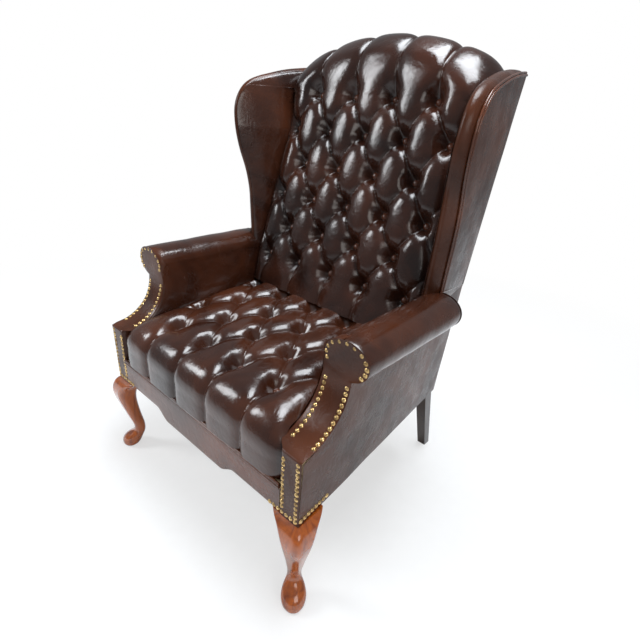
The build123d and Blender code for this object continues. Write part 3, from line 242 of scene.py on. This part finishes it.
def pair(name, points, material, slot, *replaced, fill=None, inward=False):
    """A left piece and its mirror image; the points run so that the left's normals face outwards."""
    for sign, word in ((1, "left"), (-1, "right")):
        copy = points * np.array([sign, 1, 1])
        obj = grid(f"{word}_{name}", copy, material)
        if (sign < 0) != inward:
            flip(obj)
        dress(obj, slot, *[f"{word}_{node}" for node in replaced], fill=fill)


def tube(name, points, radius, material, slot, *replaced):
    data = bpy.data.curves.new(name, "CURVE")
    data.dimensions = "3D"
    data.bevel_depth = radius / 1000
    data.bevel_resolution = 4
    data.use_fill_caps = True
    spline = data.splines.new("NURBS")
    spline.points.add(len(points) - 1)
    for point, place in zip(spline.points, points):
        point.co = (place[0] / 1000, place[1] / 1000, place[2] / 1000, 1)
    spline.order_u = 3
    spline.use_endpoint_u = True
    data.materials.append(material)
    obj = bpy.data.objects.new(name, data)
    bpy.context.scene.collection.objects.link(obj)
    dress(obj, slot, *replaced)
    return obj


def smoothstep(low, high, value):
    share = np.clip((value - low) / (high - low), 0, 1)
    return share * share * (3 - 2 * share)


def ripple(a, b, seed, scale):
    """Soft random waviness, the same on every run."""
    rng = np.random.default_rng(seed)
    total = np.zeros_like(a)
    for _ in range(9):
        angle, pitch, phase = rng.uniform(0, 2 * pi), rng.uniform(0.6, 1.9), rng.uniform(0, 2 * pi)
        total += np.sin((a * cos(angle) + b * sin(angle)) * 2 * pi / (scale * pitch) + phase)
    return total / 9


# Shape of the frame under the leather, as in the solids

BACK_SLOPE = tan(radians(5.97))
REST = radians(15.64)


def back_y(level, inset=0):
    return FRONT + 606 + (level - 236) * BACK_SLOPE - inset


def rest_y(level, proud=0):
    return FRONT + 579.6 + (level - 970) * tan(REST) - proud / cos(REST)


def side_x(depth, level):
    plan, lean = atan2(56, 606), radians(1.43)
    run = (depth - FRONT) * sin(plan) * cos(lean) - (level - 236) * sin(lean)
    return 349 - run / (cos(plan) * cos(lean))


def wing_x(depth, level):
    plan, lean = radians(8.53), radians(3.04)
    run = (depth - FRONT - 455) * sin(plan) * cos(lean) - (level - 588) * sin(lean)
    return 329 - run / (cos(plan) * cos(lean))


def inner_line(level):
    return 272 + (level - 331) / 216 * 10


def well_x(depth, level):
    """Half width between the inside wings."""
    half = np.interp(level, (550, 880, 1062), (309, 323, 338))
    slope = np.interp(level, (550, 880, 1062), (0.35, 0.352, 0.20))
    return half - slope * (depth - FRONT - 390)


def arc(start, end, tangent, steps):
    """Points of the arc that leaves start along tangent and ends at end, and its last tangent."""
    start, end, tangent = (np.array(value, float) for value in (start, end, tangent))
    tangent /= np.linalg.norm(tangent)
    chord = end - start
    normal = np.array([-tangent[1], tangent[0]])
    radius = chord.dot(chord) / (2 * chord.dot(normal))
    centre = start + radius * normal
    first = atan2(*(start - centre)[::-1])
    last = atan2(*(end - centre)[::-1])
    if radius > 0 and last < first:
        last += 2 * pi
    if radius < 0 and last > first:
        last -= 2 * pi
    angles = np.linspace(first, last, steps)
    points = centre + abs(radius) * np.stack([np.cos(angles), np.sin(angles)], axis=1)
    way = np.sign(radius)
    return points, (-sin(last) * way, cos(last) * way)


HOLLOW = arc((FRONT + 30, 400), (FRONT + 116, 520), (cos(radians(14)), sin(radians(14))), 40)[0]


def front_y(level):
    """Depth of the arm's front at a level."""
    levels = [0, 394, 400] + list(HOLLOW[1:, 1]) + [588, 700]
    depths = [FRONT, FRONT, FRONT + 30] + list(HOLLOW[1:, 0]) + [FRONT + 113, FRONT + 113]
    return np.interp(level, levels, depths)


# Tufting

HALF_COLUMN = 59  # half the pitch of the button columns
ROLL_X, ROLL_Z = 334, 547  # middle of the arm roll
ROLL_WIDE, ROLL_HIGH = 52, 41  # its half width and half height


def crease(distance, deep, broad):
    return deep * np.exp(-distance / 4.5) + broad * np.exp(-((distance / 15) ** 2))


def tufts(across, rows, pitch, last_row, rise):
    """Height of the tufts. Rows count from the first row of buttons; buttons sit where both
    diagonal counts are odd, and pleats run along both diagonals, deeper up to the right."""
    along_a = (across / HALF_COLUMN + rows + 1) % 2 - 1
    along_b = (across / HALF_COLUMN - rows + 1) % 2 - 1
    step = 1 / np.hypot(1 / HALF_COLUMN, 1 / pitch)
    pillow = ((1 - along_a**2) * (1 - along_b**2)) ** 0.5
    away_a = (1 - np.abs(along_a)) * step
    away_b = (1 - np.abs(along_b)) * step
    diamond = rise * (0.78 + 0.22 * pillow) - crease(away_a, 2.5, 2.0) - crease(away_b, 6.5, 4.0)

    def fold(offset, beyond):
        line = (across / HALF_COLUMN + offset + 1) % 2 - 1
        away = (1 - np.abs(line)) * HALF_COLUMN
        share = smoothstep(0, 0.8, beyond)
        round_top = (1 - line**2) ** (1.0 - 0.5 * share)
        deep = 1 - 0.58 * share
        full = rise * (0.78 + 0.10 * share + (0.22 - 0.10 * share) * round_top)
        return full - crease(away, 9 * deep, 6 * deep)

    height = np.where(rows > last_row, fold(last_row, rows - last_row), diamond)
    height = np.where(rows < 0, fold(0, -rows), height)
    for row in range(last_row + 1):
        columns = (-3, -1, 1, 3) if row % 2 == 0 else (-4, -2, 0, 2, 4)
        for column in columns:
            distance = np.hypot(across - column * HALF_COLUMN, (rows - row) * pitch * 0.9)
            height = height * (1 - np.exp(-((distance / 20) ** 2)))
    return height


def pinch(across, rows, pitch, last_row):
    """Small gathers that run out from each button."""
    total = np.zeros_like(across)
    for row in range(last_row + 1):
        columns = (-3, -1, 1, 3) if row % 2 == 0 else (-4, -2, 0, 2, 4)
        for column in columns:
            du = across - column * HALF_COLUMN
            dv = (rows - row) * pitch
            distance = np.hypot(du, dv) + 1e-6
            angle = np.arctan2(dv, du)
            total += np.cos(7 * angle + column + row) * np.exp(-((distance - 22) / 12) ** 2) * 0.45
            total -= 1.5 * np.exp(-((distance / 12) ** 2))
    return total


def spline_path(knots, steps):
    """Catmull-Rom through knots; each knot is a row of numbers."""
    knots = np.array(knots, float)
    padded = np.vstack([2 * knots[0] - knots[1], knots, 2 * knots[-1] - knots[-2]])
    out = []
    for i in range(len(knots) - 1):
        p0, p1, p2, p3 = padded[i:i + 4]
        for t in np.linspace(0, 1, steps, endpoint=(i == len(knots) - 2)):
            out.append(0.5 * (2 * p1 + (p2 - p0) * t + (2 * p0 - 5 * p1 + 4 * p2 - p3) * t**2
                              + (3 * p1 - p0 - 3 * p2 + p3) * t**3))
    return np.array(out)


def tufted_back():
    columns = 251
    t = np.linspace(-1, 1, columns)
    lowest, low_steps = -540, 230
    top_row, row_setback, rise = 970, 579.6, 38.0
    across = t * 285
    fall = 62 * (np.abs(across) / 285) ** 2
    pitch = 90.3
    # Over the crest, each column at its own fall
    knots = []
    for f in fall:
        turn_level = top_row + (70 - f) * cos(REST)
        knots.append([
            (0, FRONT + row_setback, top_row, REST, rise),
            (70 - f, rest_y(turn_level), turn_level, REST * 1.3, rise),
            (120 - f * 0.8, FRONT + 612, 1062 - f, radians(50), rise),
            (165 - f * 0.8, FRONT + 650, 1081 - f, radians(88), 36),
            (205 - f * 0.8, back_y(1074 - f, 3), 1070 - f, radians(140), 14),
            (235 - f * 0.8, back_y(1040 - f, -1.5), 1036 - f, radians(172), 3.5),
        ])
    crest = np.array([spline_path(k, 16) for k in knots])
    points = []
    for v in np.linspace(lowest, 0, low_steps)[:-1]:
        level = top_row + v * cos(REST)
        y = rest_y(level)
        limit = np.where(level < 550, inner_line(level), well_x(y, level)) - 1.5
        x = t * limit
        h = tufts(x, np.full_like(x, -v / pitch), pitch, 5, rise)
        h += pinch(x, np.full_like(x, -v / pitch), pitch, 5)
        h += 0.8 * ripple(x, np.full_like(x, v), 3, 90)
        h = np.maximum(h, -3) * (1 - 0.65 * np.abs(t) ** 14)
        points.append(np.stack([x, y - h * cos(REST), level + h * sin(REST)], axis=-1))
    for step in range(crest.shape[1]):
        v, y, level, angle, crest_rise = (crest[:, step, i] for i in range(5))
        share = smoothstep(0, 60, v)
        limit = (1 - share) * (well_x(y, level) - 1.5) + share * 284.5
        x = t * limit
        h = tufts(x, -np.maximum(v, 0) / pitch, pitch, 5, crest_rise)
        h += pinch(x, -v / pitch, pitch, 0) * np.exp(-np.maximum(v, 0) / 40)
        h += 0.7 * ripple(x, v, 5, 80)
        h = np.maximum(h, -3) * (1 - 0.55 * np.abs(t) ** 14)
        points.append(np.stack([x, y - h * np.cos(angle), level + h * np.sin(angle)], axis=-1))
    obj = grid("inside_back", np.array(points), hide)
    dress(obj, "leather", "inside_back_cover", "back_pad", fill=0.85)


def tufted_seat():
    columns = 251
    t = np.linspace(-1, 1, columns)
    tilt = radians(4.6)
    pitch = 98.0
    knots = [
        (-158, FRONT + 16, 311, 0, 23, 296.5),
        (-125, FRONT + 16.5, 345, radians(6), 23, 296.5),
        (-92, FRONT + 19, 378, radians(22), 24, 293),
        (-56, FRONT + 45, 401, radians(58), 29, 276),
        (0, FRONT + 100, 408, radians(85), 32, 273.5),
    ]
    path = [tuple(row) for row in spline_path(knots, 24)]
    for v in np.linspace(2, 345, 150):
        path.append((v, FRONT + 100 + v * cos(tilt), 408 + v * sin(tilt), radians(85.4), 32, 274.5))
    points = []
    for v, y, level, angle, rise, limit in path:
        x = t * limit
        rows = np.full_like(x, v / pitch)
        h = tufts(x, rows, pitch, 3, rise) + pinch(x, rows, pitch, 3) * np.exp(min(v, 0) / 30)
        h += 0.8 * ripple(x, np.full_like(x, v), 11, 100)
        h = np.maximum(h, -3) * (1 - 0.75 * np.abs(t) ** 16)
        points.append(np.stack([x, y - h * cos(angle), level + h * sin(angle)], axis=-1))
    obj = grid("seat", np.array(points)[::-1], hide_seat)
    dress(obj, "leather", "seat_cover", "seat_pad", fill=0.85)


tufted_back()
tufted_seat()

# Arms: inside arm and roll in one sheet, the scroll front, the outside panel

angles = np.linspace(radians(180), radians(-128), 66)
roll = np.stack([ROLL_X + ROLL_WIDE * np.cos(angles), ROLL_Z + ROLL_HIGH * np.sin(angles)], axis=1)
low = np.linspace(318, 540, 44)
inner = np.stack([inner_line(low) - 5 * np.sin((low - 318) / 222 * pi) ** 0.8, low], axis=1)
section = np.vstack([inner, roll])
lengths = np.linspace(0, 1, 130)
x = section[:, 0][None, :] + 0 * lengths[:, None]
z = section[:, 1][None, :] + 0 * lengths[:, None]
start = front_y(z) + np.where(z < 400, 24.5, 0.5)
end = np.where(np.arange(len(section)) < 44, FRONT + 520, FRONT + 457)[None, :]
y = start + lengths[:, None] * (end - start)
swell = 1.6 * ripple(y, z * 1.4, 21, 130) + 0.9 * ripple(y, z, 22, 50)
edge = np.minimum(lengths[:, None], 1 - lengths[:, None]) * (end - start)
tuck = -2.5 * np.exp(-edge / 5)
cx, cz = x - ROLL_X, z - ROLL_Z
flat_side = z < 500
outward = np.stack(
    [np.where(flat_side, -1, cx / ROLL_WIDE), 0 * cx, np.where(flat_side, 0, cz / ROLL_HIGH)], axis=-1)
outward /= np.maximum(np.linalg.norm(outward, axis=-1, keepdims=True), 1e-6)
arm_points = np.stack([x, y, z], axis=-1) + outward * (swell * 0.6 + tuck)[..., None]
pair("inside_arm", arm_points, hide_seat, "leather", "inside_arm_cover", "arm_pad", fill=0.9)

rings = np.linspace(0, 1, 14)
turns = np.linspace(0, 2 * pi, 73)
cap_wide, cap_high = ROLL_WIDE - 0.5, ROLL_HIGH - 0.5
cap = np.array([
    [(ROLL_X + cap_wide * r * cos(a), FRONT + 457 + 3.0 * (1 - r**4), ROLL_Z + cap_high * r * sin(a)) for a in turns]
    for r in rings
])
pair("roll_end", cap, hide_side, "leather")

levels = np.concatenate([np.linspace(236.5, 393, 50), np.linspace(394.5, 587.5, 90)])
shares = np.linspace(0, 1, 34)
panel = []
for level in levels:
    swing = ROLL_WIDE * np.sqrt(max(0, 1 - ((level - ROLL_Z) / ROLL_HIGH) ** 2)) if level > 506 else 0
    left = 298 - (298 - inner_line(level) - 0.5) * smoothstep(394, 398, level)
    right_edge = 349 + 1.5 * smoothstep(394, 500, level)
    if level > 506:
        left = min(left, ROLL_X - swing) if level < ROLL_Z else ROLL_X - swing
        right_edge = max(right_edge, ROLL_X + swing) if level < ROLL_Z else ROLL_X + swing
    row = []
    row.append((left, front_y(level) + 24, level))
    for share in shares:
        crown = 1.8 * (1 - (2 * share - 1) ** 6) + 0.5 * sin(level / 17 + share * 4)
        row.append((left + share * (right_edge - left), front_y(level) - crown * 0.9 + 0.6, level))
    panel.append(row)
pair("arm_front", np.array(panel), hide_side, "leather", "arm_front_panel")

levels = np.linspace(236.5, 552, 70)
shares = np.linspace(0, 1, 110)
z = levels[:, None] + 0 * shares[None, :]
y = front_y(z) + 1 + shares[None, :] * (back_y(z, 1) - front_y(z) - 1)
crown = 2.4 * (1 - (2 * shares[None, :] - 1) ** 4) * np.sin((z - 236) / 316 * pi) ** 0.5
crown = crown + 0.9 * ripple(y, z, 31, 160)
x = side_x(y, z) + crown - 0.4
pair("outside_arm", np.stack([x, y, z], axis=-1), hide_side, "leather", "outside_arm_cover", fill=0.6)

# Wings

first, tangent = arc((-3, 96), (-23.5, 210.5), (0, 1), 14)
second, tangent = arc((-23.5, 210.5), (-44, 325), tangent, 14)
third, tangent = arc((-44, 325), (20, 414), tangent, 22)
fourth, tangent = arc((20, 414), (237, 455), tangent, 34)
ear = np.vstack([[(0, -38)], [(-1.5, 30)], first, second[1:], third[1:], fourth[1:]])
dense = np.linspace(0, len(ear) - 1, 190)
ear = np.stack([np.interp(dense, np.arange(len(ear)), ear[:, i]) for i in (0, 1)], axis=1)
plan, lean = radians(8.53), radians(3.04)
axis_a = np.array([-sin(plan), cos(plan), 0])
normal = np.array([cos(plan) * cos(lean), sin(plan) * cos(lean), -sin(lean)])
axis_b = np.cross(normal, axis_a)
ear_origin = np.array([329, FRONT + 455, 588])


def on_ear(a, b, out=0):
    a, b, out = np.broadcast_arrays(np.asarray(a, float), b, out)
    return ear_origin + a[..., None] * axis_a + b[..., None] * axis_b + out[..., None] * normal


heights = np.linspace(-37, 452, 150)
order = np.argsort(ear[:, 1])
front_a = np.interp(heights, ear[order, 1], ear[order, 0]) + 5.5
share = np.linspace(0, 1, 90)
rear_a = (back_y(588 + heights, 1) - ear_origin[1]) / axis_a[1]
a = front_a[:, None] + share[None, :] * np.maximum(rear_a - front_a, 1)[:, None]
b = heights[:, None] - 4 * smoothstep(380, 452, heights)[:, None] + 0 * a
crown = 3.2 * (1 - (2 * share[None, :] - 1) ** 4) * np.sin(np.clip((b + 40) / 500, 0, 1) * pi) ** 0.4
crown = crown + 1.0 * ripple(a, b, 41, 170) - 1.0
pair("outside_wing", on_ear(a, b, crown), hide_side, "leather", "outside_wing_cover", fill=0.6)

slant = radians(36.9)
along = np.array([-cos(slant), -sin(slant), 0])
edge_points = on_ear(ear[:, 0], ear[:, 1])
tangents = np.gradient(ear, axis=0)
tangents /= np.linalg.norm(tangents, axis=1, keepdims=True)
outs = -tangents[:, 1:2] * axis_a + tangents[:, 0:1] * axis_b
half = np.interp(edge_points[:, 2], (550, 880, 1062), (309, 323, 338))
slope = np.interp(edge_points[:, 2], (550, 880, 1062), (0.35, 0.352, 0.20))
reach = edge_points[:, 0] - half + slope * (edge_points[:, 1] - FRONT - 390)
reach = reach / (cos(slant) + slope * sin(slant))
reach = np.maximum(reach, 4)
share = np.linspace(0, 1, 26)
depth = 5 + share[None, :] * (reach[:, None] - 5)
bulge = -6.5 + 8.5 * (1 - np.abs(2 * share[None, :] - 1) ** 2.6) + 0 * depth
bulge = bulge + 0.8 * ripple(np.arange(190)[:, None] * 2.6 + 0 * depth, depth, 51, 60)
band = edge_points[:, None, :] + along * depth[..., None] + outs[:, None, :] * bulge[..., None]
keep = band[:, 0, 1] < back_y(band[:, 0, 2], 2)
pair("wing_border", band[keep], hide_side, "leather", "wing_border", fill=0.8)

inner_edge = (edge_points + along * reach[:, None] + outs * -6.5)
rows = []
for place in inner_edge:
    level = place[2]
    far = rest_y(level) + 14 if level < 985 else back_y(level, 2)
    if far < place[1] + 6:
        far = place[1] + 6
    s = np.linspace(0, 1, 40)
    depth_y = place[1] + s * (far - place[1])
    inside = 7 * np.sin(s * pi) ** 0.7
    rows.append(np.stack([well_x(depth_y, level) - inside, depth_y, level + 0 * s], axis=-1))
inside_wing = np.array(rows)
inside_wing[..., 0] -= 1.2 * ripple(inside_wing[..., 1], inside_wing[..., 2], 61, 110)
pair("inside_wing", inside_wing, hide_seat, "leather", "inside_wing_cover", "wing_pad",
     fill=0.85, inward=True)

# Outside back and the leather over the front rail

levels = np.linspace(236.5, 1074, 130)
shares = np.linspace(-1, 1, 120)
rows = []
for share in shares:
    column = []
    for k in range(130):
        f = k / 129
        x_top = abs(share) * 318
        top = 1072 - 62 * (min(x_top, 285) / 285) ** 2
        if x_top > 285:
            top = 1010 + 30 * smoothstep(285, 292, x_top)
        level = 236.5 + f * (top - 236.5)
        y = back_y(level)
        x = share * (side_x(y, level) if level < 550 else wing_x(y, level)) * 0.998
        crown = 2.6 * (1 - share**6) * sin(pi * f) ** 0.4
        column.append((x, y + crown - 1.0, level))
    rows.append(column)
back_points = np.array(rows)
back_points[..., 1] += 0.9 * ripple(back_points[..., 0], back_points[..., 2], 71, 200)
obj = flip(grid("outside_back", back_points, hide_side))
dress(obj, "leather", "outside_back_cover", fill=0.6)

xs = np.linspace(-297.5, 297.5, 150)
ogee = smoothstep(105, 155, np.abs(xs))
lows = 216 + 23 * ogee
rows = []
for f in np.linspace(0, 1, 24):
    level = lows + f * (299.8 - lows)
    crown = 1.6 * (1 - (2 * f - 1) ** 8)
    rows.append(np.stack([xs, FRONT - crown + 0.8 + 0 * xs, level], axis=-1))
under = np.stack([xs, FRONT + 3 + 0 * xs, lows], axis=-1)
obj = grid("front_rail_leather", np.array([under] + rows), hide_rail)
dress(obj, "leather", "front_rail_cover")

# Welts

for index, level in enumerate((309.2, 302.6)):
    points = [(x, FRONT - 1.8, level + 0.25 * sin(x / 31 + index)) for x in np.linspace(-297, 297, 60)]
    replaced = ["seat_front_welt"] if index == 0 else []
    tube(f"seat_front_welt_{index + 1}", points, 3.3, hide_welt, "welt_leather", *replaced)

for sign, word in ((1, "left"), (-1, "right")):
    for index, (inset, sink) in enumerate(((2.6, -2.0), (7.0, 0.8))):
        line = on_ear(ear[:, 0], ear[:, 1]) - outs * inset + normal * sink
        line = line[line[:, 1] < back_y(line[:, 2], 2)][::3] * np.array([sign, 1, 1])
        tube(f"{word}_wing_welt_{index + 1}", line, 2.7, hide_welt, "welt_leather",
             *([f"{word}_wing_welt"] if index == 0 else []))
    seam = [(side_x(y, 553) - 2 + (332 - side_x(FRONT + 455, 553)) * (1 - s), y, 588 - 34 * s)
            for s, y in ((s, FRONT + 452 + s * 180) for s in np.linspace(0, 1, 20))]
    tube(f"{word}_arm_seam_welt", np.array(seam) * np.array([sign, 1, 1]), 2.8, hide_welt, "welt_leather")

# Floor, backdrop and light

floor_mesh = bpy.data.meshes.new("floor")
floor_mesh.from_pydata([(-30, -30, 0), (30, -30, 0), (30, 30, 0), (-30, 30, 0)], [], [(0, 1, 2, 3)])
floor = bpy.data.objects.new("floor", floor_mesh)
bpy.context.scene.collection.objects.link(floor)
material, tree, shader = new_material("floor")
speckle = noise(tree, coords(tree), 30, 3)
floor_colour = ramp(tree, speckle, ((0.3, (0.80,) * 3), (0.7, (0.83,) * 3)))
tree.links.new(floor_colour, shader.inputs["Base Color"])
glow = tree.nodes.new("ShaderNodeEmission")
glow.inputs["Color"].default_value = (1, 1, 1, 1)
seen = tree.nodes.new("ShaderNodeLightPath")
share_seen = tree.nodes.new("ShaderNodeMath")
share_seen.operation = "MULTIPLY"
length = tree.nodes.new("ShaderNodeVectorMath")
length.operation = "LENGTH"
tree.links.new(coords(tree), length.inputs[0])
fade = tree.nodes.new("ShaderNodeMapRange")
for socket, value in (("From Min", 0.8), ("From Max", 2.2), ("To Min", 0.6), ("To Max", 1.0)):
    fade.inputs[socket].default_value = value
tree.links.new(length.outputs["Value"], fade.inputs["Value"])
tree.links.new(fade.outputs["Result"], share_seen.inputs[1])
tree.links.new(seen.outputs["Is Camera Ray"], share_seen.inputs[0])
blend = tree.nodes.new("ShaderNodeMixShader")
tree.links.new(share_seen.outputs[0], blend.inputs["Fac"])
tree.links.new(shader.outputs["BSDF"], blend.inputs[1])
tree.links.new(glow.outputs[0], blend.inputs[2])
tree.links.new(blend.outputs[0], tree.nodes["Material Output"].inputs["Surface"])
shader.inputs["Roughness"].default_value = 0.85
floor_mesh.materials.append(material)

world = bpy.data.worlds.new("world")
bpy.context.scene.world = world
world.use_nodes = True
tree = world.node_tree
tree.nodes.clear()
output = tree.nodes.new("ShaderNodeOutputWorld")
mix = tree.nodes.new("ShaderNodeMixShader")
path = tree.nodes.new("ShaderNodeLightPath")
shown = tree.nodes.new("ShaderNodeBackground")
shown.inputs["Color"].default_value = (1, 1, 1, 1)
shown.inputs["Strength"].default_value = 1.0
lit = tree.nodes.new("ShaderNodeBackground")
lit.inputs["Color"].default_value = (0.90, 0.95, 1.0, 1)
lit.inputs["Strength"].default_value = 0.36
tree.links.new(path.outputs["Is Camera Ray"], mix.inputs["Fac"])
tree.links.new(lit.outputs[0], mix.inputs[1])
tree.links.new(shown.outputs[0], mix.inputs[2])
tree.links.new(mix.outputs[0], output.inputs["Surface"])


def lamp(name, place, target, size, power, colour):
    data = bpy.data.lights.new(name, "AREA")
    data.shape = "RECTANGLE"
    data.size, data.size_y = size
    data.energy = power
    data.color = colour
    obj = bpy.data.objects.new(name, data)
    obj.location = place
    obj.rotation_euler = (Vector(target) - Vector(place)).to_track_quat("-Z", "Y").to_euler()
    bpy.context.scene.collection.objects.link(obj)


lamp("sky", (0.3, 0.3, 3.2), (0, 0, 0.5), (1.8, 1.1), 120, (0.90, 0.95, 1.0))
lamp("window", (-2.2, -2.0, 2.4), (0, 0, 0.6), (0.8, 1.3), 60, (0.94, 0.97, 1.0))
lamp("fill", (2.6, -1.2, 1.8), (0, 0, 0.5), (1.4, 1.4), 22, (1.0, 0.97, 0.93))
